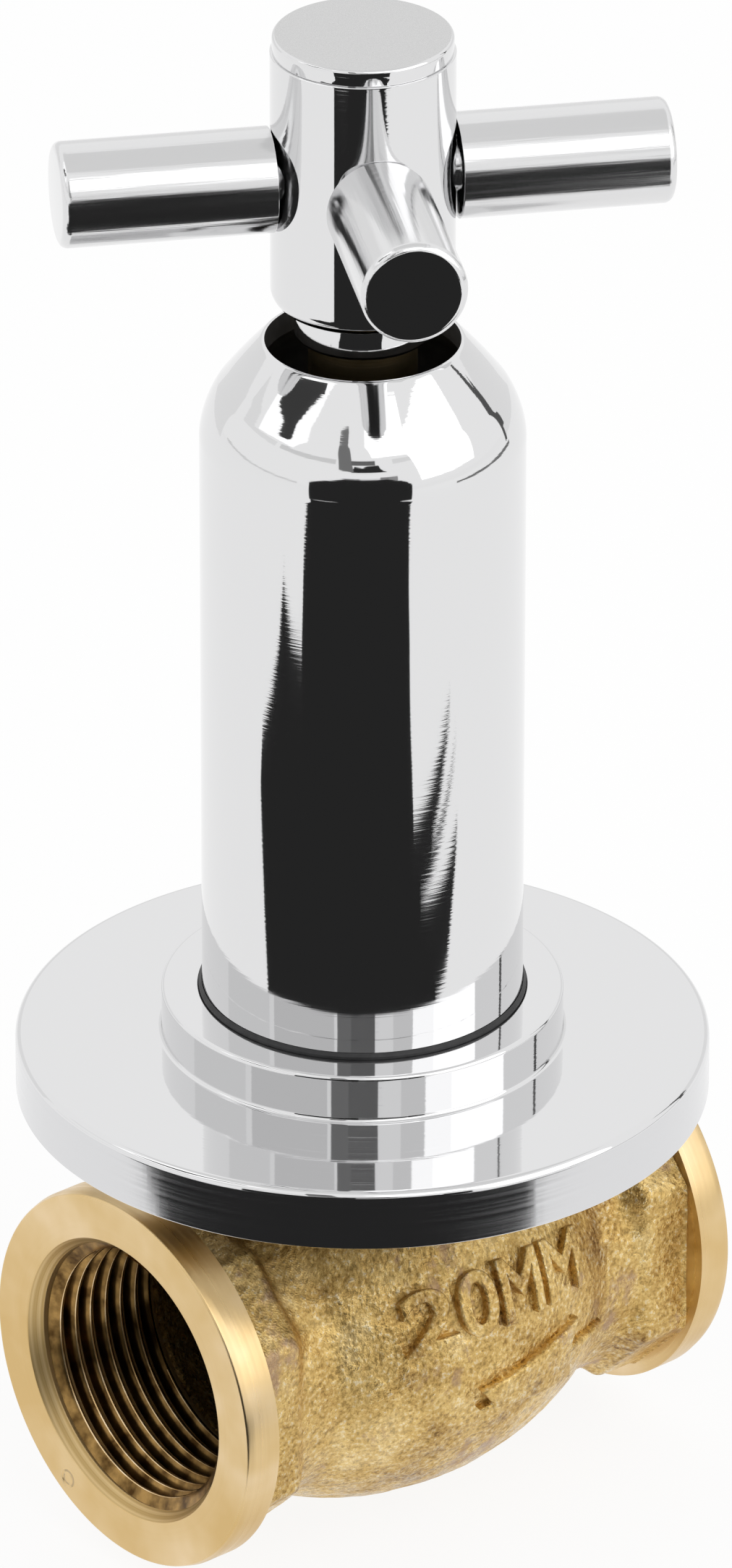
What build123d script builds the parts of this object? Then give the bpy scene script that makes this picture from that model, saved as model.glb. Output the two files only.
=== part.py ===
from build123d import *
import os
from math import radians, tan

# Stop valve that is built into a wall, in millimetres. The cast body and its headwork are buried.
# The sleeve and the wall flange cover the hole, and a handle with three arms turns the spindle.
# The origin is where the spindle's axis meets the finished wall. +Z points out of the wall along the
# spindle, and +X runs along the pipe from the inlet to the outlet.

# Clearances
turning_gap = 0.05
screwed_gap = 0.1
bearing_gap = 0.05

# Cast body, measured from its middle on the pipe's axis. The ends are faced so that the spindle's
# axis is a little nearer to the inlet.
pipe_depth = 21.8
pipe_shift = 0.35
end_reach = 29.7
belly_r = 20.0
belly_reach = 16.4
waist_r = 15.8
waist_round = 3.0
cast_wall = 3.0

# Octagonal collars, and the machined rims at their ends
collar_width = 6.3
collar_ramp = 1.4
collar_flat_r = 16.25
collar_top_r = 15.0
collar_flat_half = 7.75
collar_corner_r = 18.0
rim_r = 18.6
rim_width = 3.3
rim_bevel = 0.9
rim_bevel_rise = 0.26

# Pipe threads, three quarter inch: the bore is cut at the root of the thread
thread_root_r = 13.2
relief_step = 0.25
relief_length = 2.9
mouth_bevel = 0.9

# Bridge in the cast body, and its seat
bridge_wall = 2.4
bridge_lean = 2.6
bridge_gap = 0.9
chamber_gap = 1.0
seat_lap = 1.9
seat_land = 1.2
seat_rise = 0.8

# Neck
shoulder_lip = 1.4
shoulder_height = -3.0
neck_wall = 2.1
neck_height = 12.0
neck_bevel = 0.8

# Jumper: washer, plate and hexagonal carriage
jumper_lift = 5.25
washer_gap = 1.4
washer_thickness = 3.0
plate_thickness = 2.6
carriage_wall = 1.85
carriage_length = 15.6
carriage_floor = 0.5
washer_screw_r = 2.0
washer_screw_depth = 2.2
washer_screw_head_r = 4.0
washer_screw_head = 2.0
screw_slot = 0.9

# Headwork
gasket_thickness = 1.0
head_flange_inset = 0.2
head_flange = 1.5
head_hex_inset = 1.8
head_hex_height = 4.5
head_hex_bevel = 0.9
head_stem_length = 12.0
head_stem_step = 1.2
head_skirt_wall = 2.6
head_housing_wall = 1.2
head_housing_height = 6.0
lift_spare = 0.5

# Spindle
spindle_r = 5.0
collar_gap = 0.35
collar_thickness = 2.0
thrust_thickness = 0.6
seal_section_r = 0.7
seal_groove_width = 1.6
seal_spacing = 3.6
clip_thickness = 0.8
clip_stand = 1.4
clip_groove = 0.9
clip_mouth = 3.4
broach_step = 0.6
broach_length = 7.5
broach_teeth = 20
broach_tooth = 0.45

# Extension spindle
socket_wall = 2.0
socket_length = 11.0
socket_bevel = 2.0
grub_r = 2.0
grub_key_r = 1.0
grub_key_depth = 1.2
handle_broach_length = 8.6

# Sleeve
sleeve_wall = 1.6
sleeve_thread_wall = 1.9
sleeve_thread_length = 12.0
sleeve_height = 77.1
sleeve_lean = 40
sleeve_round = 11.0
mouth_r = 9.25
mouth_lip = 0.25

# Wall flange and its seal ring
flange_r = 32.5
flange_thickness = 5.8
flange_skin = 2.0
flange_rim = 1.6
flange_edge = 0.75
hollow_round = 1.2
boss_wall = 3.45
boss_height = 10.4
boss_edge = 0.4
boss_foot = 0.5
flange_bore_gap = 0.35
hub_lift = 0.5
seal_groove_depth = 1.3
seal_groove_height = 2.0
seal_groove_drop = 1.0
seal_lip = 0.55
seal_lip_wall = 0.28

# Handle
handle_angle = -30.0
hub_r = 8.45
hub_gap = 0.6
hub_neck_length = 3.2
hub_length = 25.05
hub_round = 1.7
hub_neck_wall = 1.2
hub_neck_round = 0.5
arm_rise = 12.9
arm_r = 4.88
arm_reach = 28.2
front_arm_reach = 26.4
arm_edge = 0.8
stud_r = 2.5
stud_inner = 4.4
recess_r = 6.2
recess_depth = 7.1
handle_screw_r = 2.4
handle_screw_depth = 8.0
handle_screw_head_r = 4.4
handle_screw_head = 2.6
lock_washer_thickness = 0.8

# Cap
cap_r = 8.26
cap_thickness = 1.6
cap_edge = 0.35
cap_spigot = 3.0
cap_ring_r = 0.6

# Radii worked out from the spindle outwards: each piece goes round the one before it
carriage_flat_r = spindle_r + screwed_gap + carriage_wall
collar_r = carriage_flat_r - collar_gap
head_housing_r = carriage_flat_r + turning_gap + head_housing_wall
head_skirt_r = carriage_flat_r + turning_gap + head_skirt_wall
neck_thread_r = head_skirt_r + head_stem_step + screwed_gap
washer_r = neck_thread_r - washer_gap
seat_r = washer_r - seat_lap
neck_r = neck_thread_r + neck_wall
head_flange_r = neck_r - head_flange_inset
head_hex_flat_r = head_flange_r - head_hex_inset
sleeve_r = neck_r + screwed_gap + sleeve_thread_wall
sleeve_inner_r = sleeve_r - sleeve_wall
shoulder_r = sleeve_r + shoulder_lip
flange_bore_r = sleeve_r + flange_bore_gap
boss_r = flange_bore_r + boss_wall
clip_r = spindle_r + clip_stand
broach_r = spindle_r - broach_step
socket_r = spindle_r + socket_wall
hub_neck_r = spindle_r + screwed_gap + hub_neck_wall

# Heights and planes worked out from the sizes above
pipe_z = -pipe_depth
pipe_section = Plane(origin=(pipe_shift, 0, pipe_z), x_dir=(1, 0, 0), z_dir=(0, -1, 0))
pipe_axis = Axis((0, 0, pipe_z), (1, 0, 0))
rim_start = end_reach - rim_width
collar_start = rim_start - collar_width
chamber_r = belly_r - cast_wall
bridge_half = washer_r + bridge_gap + bridge_wall / 2
chamber_half = bridge_half + bridge_lean + chamber_gap
seat_z = pipe_z + bridge_wall / 2 + seat_rise
washer_z = seat_z + bearing_gap
plate_z = washer_z + washer_thickness
plate_top = plate_z + plate_thickness
carriage_top = plate_top + carriage_length
head_seat_z = neck_height + gasket_thickness
hex_base_z = head_seat_z + head_flange
hex_top_z = hex_base_z + head_hex_height
housing_top_z = hex_top_z + head_housing_height
skirt_end_z = plate_top + jumper_lift + lift_spare
spindle_end_z = plate_top + carriage_floor + jumper_lift + lift_spare
collar_z = carriage_top + jumper_lift + lift_spare
thrust_z = collar_z + collar_thickness + bearing_gap
shoulder_z = thrust_z + thrust_thickness + bearing_gap
clip_z = housing_top_z + bearing_gap
broach_z = clip_z + clip_thickness + clip_groove
broach_top_z = broach_z + broach_length
socket_z = broach_z + bearing_gap
socket_top_z = socket_z + socket_length
seal_z = boss_height - seal_groove_drop - seal_groove_height
hub_neck_base = sleeve_height + hub_gap
hub_base = hub_neck_base + hub_neck_length
hub_top = hub_base + hub_length
arm_height = hub_base + arm_rise
handle_broach_z = hub_base
handle_broach_top = handle_broach_z + handle_broach_length
recess_z = hub_top - recess_depth
screw_head_z = recess_z + lock_washer_thickness
arm_start = hub_r + bearing_gap
arm_planes = [
    Plane((0, 0, arm_height), z_dir=Vector(1, 0, 0).rotate(Axis.Z, handle_angle + turn))
    for turn in (0, 180, -90)
]

os.makedirs("parts", exist_ok=True)

# Outline of a toothed shaft end, with one notch between each pair of teeth
with BuildSketch() as broach_outline:
    Circle(broach_r)
    with PolarLocations(broach_r, broach_teeth):
        RegularPolygon(broach_tooth, 3, rotation=180, mode=Mode.SUBTRACT)

# Bridge that parts the inlet side from the outlet side: a level web with the seat in it, leaning up to
# the roof on the inlet side and down to the floor on the outlet side. It is cast in one with the body,
# and is a piece of its own here so that the chambers beside it stay open for collision.
with BuildPart() as seat_bridge:
    with BuildSketch(pipe_section):
        with BuildLine():
            Polyline(
                (-bridge_half - bridge_lean, chamber_r),
                (-bridge_half, 0),
                (bridge_half, 0),
                (bridge_half + bridge_lean, -chamber_r),
            )
            offset(amount=bridge_wall / 2, side=Side.BOTH)
        make_face()
    extrude(amount=belly_r, both=True)
    with BuildSketch(pipe_section):
        with BuildLine():
            Line((0, 0), (0, chamber_r - bearing_gap))
            TangentArc(
                (0, chamber_r - bearing_gap),
                (chamber_half, thread_root_r - bearing_gap),
                tangent=(1, 0),
            )
            Polyline((chamber_half, thread_root_r - bearing_gap), (chamber_half, 0), (0, 0))
        make_face()
        mirror(about=Plane.YZ)
    revolve(axis=pipe_axis, mode=Mode.INTERSECT)
    with BuildSketch(Plane.XY.offset(pipe_z)):
        Circle(seat_r + seat_land)
    extrude(amount=seat_z - pipe_z)
    with BuildSketch(Plane.XY.offset(seat_z)):
        Circle(seat_r)
    extrude(amount=-2 * bridge_wall, mode=Mode.SUBTRACT)
seat_bridge.part.label = "seat_bridge"
export_step(seat_bridge.part, "parts/seat_bridge.step")

# Outline of the octagonal collars, with its corners turned down
with BuildSketch() as collar_outline:
    Rectangle(2 * collar_flat_r, 2 * collar_top_r)
    chamfer(collar_outline.vertices(), length=collar_top_r - collar_flat_half)
    Circle(collar_corner_r, mode=Mode.INTERSECT)

# Valve body: one sand casting in brass, machined at its ends and its neck
with BuildPart() as valve_body:
    # Belly between two waists
    with BuildSketch(pipe_section) as casting:
        with BuildLine():
            ThreePointArc((-belly_reach, waist_r), (0, belly_r), (belly_reach, waist_r))
            Polyline(
                (belly_reach, waist_r),
                (rim_start, waist_r),
                (rim_start, 0),
                (-rim_start, 0),
                (-rim_start, waist_r),
                (-belly_reach, waist_r),
            )
        make_face()
        waists = casting.vertices().filter_by(lambda v: abs(abs(v.X) - belly_reach) < 0.01)
        fillet(waists, radius=waist_round)
    revolve(axis=pipe_axis)
    # Octagonal collars, each with a cast ramp on its inner side
    for side in (-1, 1):
        with BuildSketch(Plane.YZ.offset(pipe_shift + side * rim_start)):
            with Locations((0, pipe_z)):
                add(collar_outline.sketch)
        extrude(amount=-side * (collar_width - collar_ramp))
        with BuildSketch(Plane.YZ.offset(pipe_shift + side * (collar_start + collar_ramp))):
            with Locations((0, pipe_z)):
                add(collar_outline.sketch)
        extrude(amount=-side * collar_ramp, taper=45)
    # Machined rims
    with BuildSketch(pipe_section):
        with BuildLine():
            Polyline(
                (rim_start, 0),
                (rim_start, rim_r),
                (end_reach - rim_bevel, rim_r),
                (end_reach, rim_r - rim_bevel_rise),
                (end_reach, 0),
                close=True,
            )
        make_face()
        mirror(about=Plane.YZ)
    revolve(axis=pipe_axis)
    # Shoulder under the sleeve, and the screwed neck
    with BuildSketch(Plane.XY.offset(pipe_z)):
        Circle(shoulder_r)
    extrude(amount=shoulder_height - pipe_z)
    with BuildSketch(Plane.XY.offset(shoulder_height)):
        Circle(neck_r)
    extrude(amount=neck_height - shoulder_height)
    chamfer(valve_body.edges().filter_by(GeomType.CIRCLE).sort_by(Axis.Z)[-1], length=neck_bevel)
    # Waterway: threaded ends with a relief and a bevelled mouth, and the round chamber
    with BuildSketch(pipe_section):
        with BuildLine():
            Line((0, 0), (0, chamber_r))
            TangentArc((0, chamber_r), (chamber_half, thread_root_r), tangent=(1, 0))
            Polyline(
                (chamber_half, thread_root_r),
                (end_reach - relief_length, thread_root_r),
                (end_reach - relief_length, thread_root_r + relief_step),
                (end_reach - mouth_bevel, thread_root_r + relief_step),
                (end_reach, thread_root_r + mouth_bevel),
                (end_reach, 0),
                (0, 0),
            )
        make_face()
        mirror(about=Plane.YZ)
    revolve(axis=pipe_axis, mode=Mode.SUBTRACT)
    # Bore that takes the headwork and lets the jumper through
    with BuildSketch(Plane.XY.offset(neck_height)):
        Circle(neck_thread_r)
    extrude(amount=plate_top - neck_height, mode=Mode.SUBTRACT)
valve_body.part.label = "valve_body"
export_step(valve_body.part, "parts/valve_body.step")

# Fibre gasket between the neck and the headwork
with BuildPart() as headwork_gasket:
    with BuildSketch(Plane.XY.offset(neck_height)):
        Circle(head_flange_r)
        Circle(neck_thread_r, mode=Mode.SUBTRACT)
    extrude(amount=gasket_thickness)
headwork_gasket.part.label = "headwork_gasket"
export_step(headwork_gasket.part, "parts/headwork_gasket.step")

# Headwork body: it screws into the neck, guides the carriage in a hexagonal bore and carries the
# spindle in the round bore above
with BuildPart() as headwork_body:
    with BuildSketch(Plane.XY.offset(hex_base_z)):
        RegularPolygon(head_hex_flat_r, 6, major_radius=False)
    extrude(amount=head_hex_height)
    with BuildSketch(Plane.XZ):
        with BuildLine():
            Polyline(
                (0, hex_base_z),
                (head_flange_r, hex_base_z),
                (head_flange_r, hex_top_z - head_hex_bevel),
                (head_hex_flat_r, hex_top_z),
                (0, hex_top_z),
                close=True,
            )
        make_face()
    revolve(axis=Axis.Z, mode=Mode.INTERSECT)
    with BuildSketch(Plane.XZ):
        with BuildLine():
            Polyline(
                (0, skirt_end_z),
                (head_skirt_r, skirt_end_z),
                (head_skirt_r, head_seat_z - head_stem_length),
                (neck_thread_r - screwed_gap, head_seat_z - head_stem_length),
                (neck_thread_r - screwed_gap, head_seat_z),
                (head_flange_r, head_seat_z),
                (head_flange_r, hex_base_z),
                (head_housing_r, hex_base_z),
                (head_housing_r, housing_top_z),
                (0, housing_top_z),
                close=True,
            )
        make_face()
    revolve(axis=Axis.Z)
    with BuildSketch(Plane.XY.offset(skirt_end_z)):
        RegularPolygon(carriage_flat_r + turning_gap, 6, major_radius=False)
    extrude(amount=shoulder_z - skirt_end_z, mode=Mode.SUBTRACT)
    with BuildSketch(Plane.XY.offset(shoulder_z)):
        Circle(spindle_r + turning_gap)
    extrude(amount=housing_top_z - shoulder_z, mode=Mode.SUBTRACT)
headwork_body.part.label = "headwork_body"
export_step(headwork_body.part, "parts/headwork_body.step")

# Spindle: it turns without rising, and its left-hand thread draws the carriage up
seal_groove_r = spindle_r - 2 * seal_section_r
seal_heights = [(shoulder_z + housing_top_z) / 2 + side * seal_spacing / 2 for side in (-1, 1)]
with BuildPart() as spindle:
    with BuildSketch(Plane.XY.offset(spindle_end_z)):
        Circle(spindle_r)
    extrude(amount=broach_z - spindle_end_z)
    with BuildSketch(Plane.XY.offset(collar_z)):
        Circle(collar_r)
    extrude(amount=collar_thickness)
    with BuildSketch(Plane.XY.offset(broach_z)):
        add(broach_outline.sketch)
    extrude(amount=broach_length)
    with BuildSketch(Plane.XZ):
        with Locations([(seal_groove_r + seal_section_r, z) for z in seal_heights]):
            Rectangle(2 * seal_section_r, seal_groove_width)
        with Locations((spindle_r - clip_groove / 2, clip_z + clip_thickness / 2)):
            Rectangle(clip_groove, clip_thickness + 2 * bearing_gap)
    revolve(axis=Axis.Z, mode=Mode.SUBTRACT)
spindle.part.label = "spindle"
export_step(spindle.part, "parts/spindle.step")

# Two rubber rings in the spindle's grooves
with BuildPart() as spindle_seal_rings:
    with BuildSketch(Plane.XZ):
        with Locations([(seal_groove_r + seal_section_r, z) for z in seal_heights]):
            Circle(seal_section_r)
    revolve(axis=Axis.Z)
spindle_seal_rings.part.label = "spindle_seal_rings"
export_step(spindle_seal_rings.part, "parts/spindle_seal_rings.step")

# Slippery washer between the spindle's collar and the headwork's shoulder
with BuildPart() as thrust_washer:
    with BuildSketch(Plane.XY.offset(thrust_z)):
        Circle(collar_r)
        Circle(spindle_r + turning_gap, mode=Mode.SUBTRACT)
    extrude(amount=thrust_thickness)
thrust_washer.part.label = "thrust_washer"
export_step(thrust_washer.part, "parts/thrust_washer.step")

# Open spring clip that keeps the spindle from dropping
with BuildPart() as spindle_clip:
    with BuildSketch(Plane.XY.offset(clip_z)):
        Circle(clip_r)
        Circle(spindle_r - clip_groove + turning_gap, mode=Mode.SUBTRACT)
        with Locations((clip_r, 0)):
            Rectangle(2 * clip_r, clip_mouth, mode=Mode.SUBTRACT)
    extrude(amount=clip_thickness)
spindle_clip.part.label = "spindle_clip"
export_step(spindle_clip.part, "parts/spindle_clip.step")

# Jumper carriage: a hexagonal nut that slides in the headwork, with the washer plate at its foot
with BuildPart() as jumper_carriage:
    with BuildSketch(Plane.XY.offset(plate_z)):
        Circle(washer_r)
    extrude(amount=plate_thickness)
    with BuildSketch(Plane.XY.offset(plate_top)):
        RegularPolygon(carriage_flat_r, 6, major_radius=False)
    extrude(amount=carriage_length)
    with BuildSketch(Plane.XY.offset(plate_top + carriage_floor)):
        Circle(spindle_r + screwed_gap)
    extrude(amount=carriage_length - carriage_floor, mode=Mode.SUBTRACT)
    with BuildSketch(Plane.XY.offset(plate_z)):
        Circle(washer_screw_r + screwed_gap)
    extrude(amount=washer_screw_depth + screwed_gap, mode=Mode.SUBTRACT)
jumper_carriage.part.label = "jumper_carriage"
export_step(jumper_carriage.part, "parts/jumper_carriage.step")

# Rubber washer that closes the seat
with BuildPart() as seat_washer:
    with BuildSketch(Plane.XY.offset(washer_z)):
        Circle(washer_r)
        Circle(washer_screw_r + screwed_gap, mode=Mode.SUBTRACT)
    extrude(amount=washer_thickness)
seat_washer.part.label = "seat_washer"
export_step(seat_washer.part, "parts/seat_washer.step")

# Slotted screw that holds the washer
with BuildPart() as washer_screw:
    with BuildSketch(Plane.XY.offset(washer_z - washer_screw_head)):
        Circle(washer_screw_head_r)
    extrude(amount=washer_screw_head)
    with BuildSketch(Plane.XY.offset(washer_z)):
        Circle(washer_screw_r)
    extrude(amount=washer_thickness + washer_screw_depth)
    with BuildSketch(Plane.XY.offset(washer_z - washer_screw_head)):
        Rectangle(2 * washer_screw_head_r, screw_slot)
    extrude(amount=washer_screw_head / 2, mode=Mode.SUBTRACT)
washer_screw.part.label = "washer_screw"
export_step(washer_screw.part, "parts/washer_screw.step")

# Extension spindle: its socket sits on the spindle, and its toothed top carries the handle
grub_z = (broach_z + broach_top_z) / 2
with BuildPart() as extension_spindle:
    with BuildSketch(Plane.XZ):
        with BuildLine():
            Polyline(
                (0, socket_z),
                (socket_r, socket_z),
                (socket_r, socket_top_z - socket_bevel),
                (spindle_r, socket_top_z),
                (spindle_r, handle_broach_z),
                (0, handle_broach_z),
                close=True,
            )
        make_face()
    revolve(axis=Axis.Z)
    with BuildSketch(Plane.XY.offset(handle_broach_z)):
        add(broach_outline.sketch)
    extrude(amount=handle_broach_length)
    with BuildSketch(Plane.XY.offset(socket_z)):
        Circle(broach_r + turning_gap)
    extrude(amount=broach_length + bearing_gap, mode=Mode.SUBTRACT)
    with BuildSketch(Plane.YZ):
        with Locations((0, grub_z)):
            Circle(grub_r + screwed_gap)
    extrude(amount=socket_r, mode=Mode.SUBTRACT)
    with BuildSketch(Plane.XY.offset(handle_broach_top)):
        Circle(handle_screw_r + screwed_gap)
    extrude(amount=-handle_screw_depth - screwed_gap, mode=Mode.SUBTRACT)
extension_spindle.part.label = "extension_spindle"
export_step(extension_spindle.part, "parts/extension_spindle.step")

# Grub screw that locks the extension on the spindle
with BuildPart() as extension_grub_screw:
    with BuildSketch(Plane.YZ.offset(broach_r + turning_gap)):
        with Locations((0, grub_z)):
            Circle(grub_r)
    extrude(amount=socket_r - broach_r - turning_gap)
    with BuildSketch(Plane.YZ.offset(socket_r)):
        with Locations((0, grub_z)):
            RegularPolygon(grub_key_r, 6)
    extrude(amount=-grub_key_depth, mode=Mode.SUBTRACT)
extension_grub_screw.part.label = "extension_grub_screw"
export_step(extension_grub_screw.part, "parts/extension_grub_screw.step")

# Sleeve: a turned tube screwed on the neck, drawn in at the top by a cone with a large rounding
cone_slope = tan(radians(sleeve_lean))
cone_z = sleeve_height - (sleeve_r - mouth_r) / cone_slope
inner_cone_z = cone_z - sleeve_wall * tan(radians(sleeve_lean / 2))
lip_r = mouth_r - mouth_lip
lip_base = inner_cone_z + (sleeve_inner_r - lip_r) / cone_slope
with BuildPart() as sleeve:
    with BuildSketch(Plane.XZ) as sleeve_section:
        with BuildLine():
            Polyline(
                (neck_r + screwed_gap, shoulder_height),
                (sleeve_r, shoulder_height),
                (sleeve_r, cone_z),
                (mouth_r, sleeve_height),
                (lip_r, sleeve_height),
                (lip_r, lip_base),
                (sleeve_inner_r, inner_cone_z),
                (sleeve_inner_r, shoulder_height + sleeve_thread_length),
                (neck_r + screwed_gap, shoulder_height + sleeve_thread_length),
                close=True,
            )
        make_face()
        corners = sleeve_section.vertices()
        outer_corner = corners.filter_by(lambda v: abs(v.Y - cone_z) < 0.01)
        fillet(outer_corner, radius=sleeve_round)
        corners = sleeve_section.vertices()
        inner_corner = corners.filter_by(lambda v: abs(v.Y - inner_cone_z) < 0.01)
        fillet(inner_corner, radius=sleeve_round - sleeve_wall)
    revolve(axis=Axis.Z)
sleeve.part.label = "sleeve"
export_step(sleeve.part, "parts/sleeve.step")

# Wall flange: turned with a boss round the sleeve, and hollow underneath so that only its rim and
# nothing else meets the wall
groove_r = flange_bore_r + seal_groove_depth
with BuildPart() as wall_flange:
    with BuildSketch(Plane.XZ) as flange_section:
        with BuildLine():
            Polyline(
                (flange_bore_r, hub_lift),
                (boss_r, hub_lift),
                (boss_r, flange_thickness - flange_skin),
                (flange_r - flange_rim, flange_thickness - flange_skin),
                (flange_r - flange_rim, 0),
                (flange_r, 0),
                (flange_r, flange_thickness),
                (boss_r, flange_thickness),
                (boss_r, boss_height),
                (flange_bore_r, boss_height),
                (flange_bore_r, seal_z + seal_groove_height),
                (groove_r, seal_z + seal_groove_height),
                (groove_r, seal_z),
                (flange_bore_r, seal_z),
                close=True,
            )
        make_face()
        corners = flange_section.vertices()
        boss_top = corners.filter_by(lambda v: v.X > boss_r - 0.01 and v.Y > flange_thickness + 0.01)
        fillet(boss_top, radius=boss_edge)
        corners = flange_section.vertices()
        rim_top = corners.filter_by(lambda v: v.X > flange_r - 0.01 and v.Y > 0.01)
        fillet(rim_top, radius=flange_edge)
        corners = flange_section.vertices()
        foot = corners.filter_by(lambda v: abs(v.X - boss_r) + abs(v.Y - flange_thickness) < 0.01)
        fillet(foot, radius=boss_foot)
        corners = flange_section.vertices()
        skin_z = flange_thickness - flange_skin
        hollow = corners.filter_by(lambda v: abs(v.Y - skin_z) < 0.01)
        fillet(hollow, radius=hollow_round)
    revolve(axis=Axis.Z)
wall_flange.part.label = "wall_flange"
export_step(wall_flange.part, "parts/wall_flange.step")

# Black rubber ring: it sits in the boss's groove, and its lip stands up against the sleeve
with BuildPart() as flange_seal_ring:
    with BuildSketch(Plane.XZ):
        with BuildLine():
            Polyline(
                (sleeve_r + turning_gap, seal_z + turning_gap),
                (groove_r - turning_gap, seal_z + turning_gap),
                (groove_r - turning_gap, seal_z + seal_groove_height - turning_gap),
                (sleeve_r + turning_gap + seal_lip_wall, seal_z + seal_groove_height - turning_gap),
                (sleeve_r + turning_gap + seal_lip_wall, boss_height + seal_lip / 2),
                (sleeve_r + turning_gap, boss_height + seal_lip),
                close=True,
            )
        make_face()
    revolve(axis=Axis.Z)
flange_seal_ring.part.label = "flange_seal_ring"
export_step(flange_seal_ring.part, "parts/flange_seal_ring.step")

# Handle hub: turned, with a rounded foot and a neck that stops just above the sleeve's mouth
with BuildPart() as handle_hub:
    with BuildSketch(Plane.XZ) as hub_section:
        with BuildLine():
            Polyline(
                (0, hub_neck_base),
                (hub_neck_r, hub_neck_base),
                (hub_neck_r, hub_base),
                (hub_r, hub_base),
                (hub_r, hub_top),
                (recess_r, hub_top),
                (recess_r, recess_z),
                (0, recess_z),
                close=True,
            )
        make_face()
        corners = hub_section.vertices()
        foot = corners.filter_by(lambda v: v.X > hub_r - 0.01 and v.Y < hub_base + 0.01)
        fillet(foot, radius=hub_round)
        corners = hub_section.vertices()
        tip = corners.filter_by(lambda v: v.X > hub_neck_r - 0.01 and v.Y < hub_neck_base + 0.01)
        fillet(tip, radius=hub_neck_round)
    revolve(axis=Axis.Z)
    # Stepped bore for the extension, and the screw's hole above it
    with BuildSketch(Plane.XY.offset(hub_neck_base)):
        Circle(spindle_r + screwed_gap)
    extrude(amount=hub_base - hub_neck_base + bearing_gap, mode=Mode.SUBTRACT)
    with BuildSketch(Plane.XY.offset(hub_base)):
        Circle(broach_r + turning_gap)
    extrude(amount=handle_broach_length + bearing_gap, mode=Mode.SUBTRACT)
    with BuildSketch(Plane.XY.offset(recess_z)):
        Circle(handle_screw_r + screwed_gap)
    extrude(amount=handle_broach_top - recess_z, mode=Mode.SUBTRACT)
    # Threaded holes for the arms
    for arm_plane in arm_planes:
        with BuildSketch(arm_plane.offset(stud_inner - screwed_gap)):
            Circle(stud_r + screwed_gap)
        extrude(amount=hub_r, mode=Mode.SUBTRACT)
handle_hub.part.label = "handle_hub"
export_step(handle_hub.part, "parts/handle_hub.step")

# Three arms: round bars with flat inner ends that butt on the hub, each held by its own stud
arm_names = ("right_arm", "left_arm", "front_arm")
arm_reaches = (arm_reach, arm_reach, front_arm_reach)
for name, arm_plane, reach in zip(arm_names, arm_planes, arm_reaches):
    with BuildPart() as arm:
        with BuildSketch(arm_plane.offset(arm_start)):
            Circle(arm_r)
        extrude(amount=reach - arm_start)
        fillet(arm.edges().sort_by(Axis(arm_plane.origin, arm_plane.z_dir))[-1], radius=arm_edge)
        with BuildSketch(arm_plane.offset(stud_inner)):
            Circle(stud_r)
        extrude(amount=arm_start - stud_inner)
    arm.part.label = name
    export_step(arm.part, f"parts/{name}.step")

# Split spring washer under the handle screw
with BuildPart() as handle_lock_washer:
    with BuildSketch(Plane.XY.offset(recess_z)):
        Circle(handle_screw_head_r)
        Circle(handle_screw_r + screwed_gap, mode=Mode.SUBTRACT)
        with Locations((handle_screw_head_r, 0)):
            Rectangle(2 * handle_screw_head_r, screw_slot, mode=Mode.SUBTRACT)
    extrude(amount=lock_washer_thickness)
handle_lock_washer.part.label = "handle_lock_washer"
export_step(handle_lock_washer.part, "parts/handle_lock_washer.step")

# Screw that clamps the hub on the extension spindle
with BuildPart() as handle_screw:
    with BuildSketch(Plane.XY.offset(screw_head_z)):
        Circle(handle_screw_head_r)
    extrude(amount=handle_screw_head)
    fillet(handle_screw.edges().sort_by(Axis.Z)[-1], radius=handle_screw_head / 3)
    with BuildSketch(Plane.XY.offset(handle_broach_top - handle_screw_depth)):
        Circle(handle_screw_r)
    extrude(amount=screw_head_z - handle_broach_top + handle_screw_depth)
    with BuildSketch(Plane.XY.offset(screw_head_z + handle_screw_head)):
        Rectangle(handle_screw_head_r, screw_slot)
        Rectangle(screw_slot, handle_screw_head_r)
    extrude(amount=-handle_screw_head / 2, mode=Mode.SUBTRACT)
handle_screw.part.label = "handle_screw"
export_step(handle_screw.part, "parts/handle_screw.step")

# Cap that closes the hub, with a groove for its ring
cap_spigot_r = recess_r - screwed_gap
cap_ring_z = hub_top - cap_spigot / 2
with BuildPart() as hub_cap:
    with BuildSketch(Plane.XY.offset(hub_top)):
        Circle(cap_r)
    extrude(amount=cap_thickness)
    fillet(hub_cap.edges().sort_by(Axis.Z)[-1], radius=cap_edge)
    with BuildSketch(Plane.XY.offset(hub_top)):
        Circle(cap_spigot_r)
    extrude(amount=-cap_spigot)
    with BuildSketch(Plane.XZ):
        with Locations((cap_spigot_r - cap_ring_r, cap_ring_z)):
            Rectangle(2 * cap_ring_r, 2 * cap_ring_r)
    revolve(axis=Axis.Z, mode=Mode.SUBTRACT)
hub_cap.part.label = "hub_cap"
export_step(hub_cap.part, "parts/hub_cap.step")

# Rubber ring that grips the cap in the hub
with BuildPart() as hub_cap_ring:
    with BuildSketch(Plane.XZ):
        with Locations((cap_spigot_r - cap_ring_r, cap_ring_z)):
            Circle(cap_ring_r)
    revolve(axis=Axis.Z)
hub_cap_ring.part.label = "hub_cap_ring"
export_step(hub_cap_ring.part, "parts/hub_cap_ring.step")
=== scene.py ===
import math

import bmesh
import bpy
from mathutils import Matrix, Vector, noise


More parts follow.
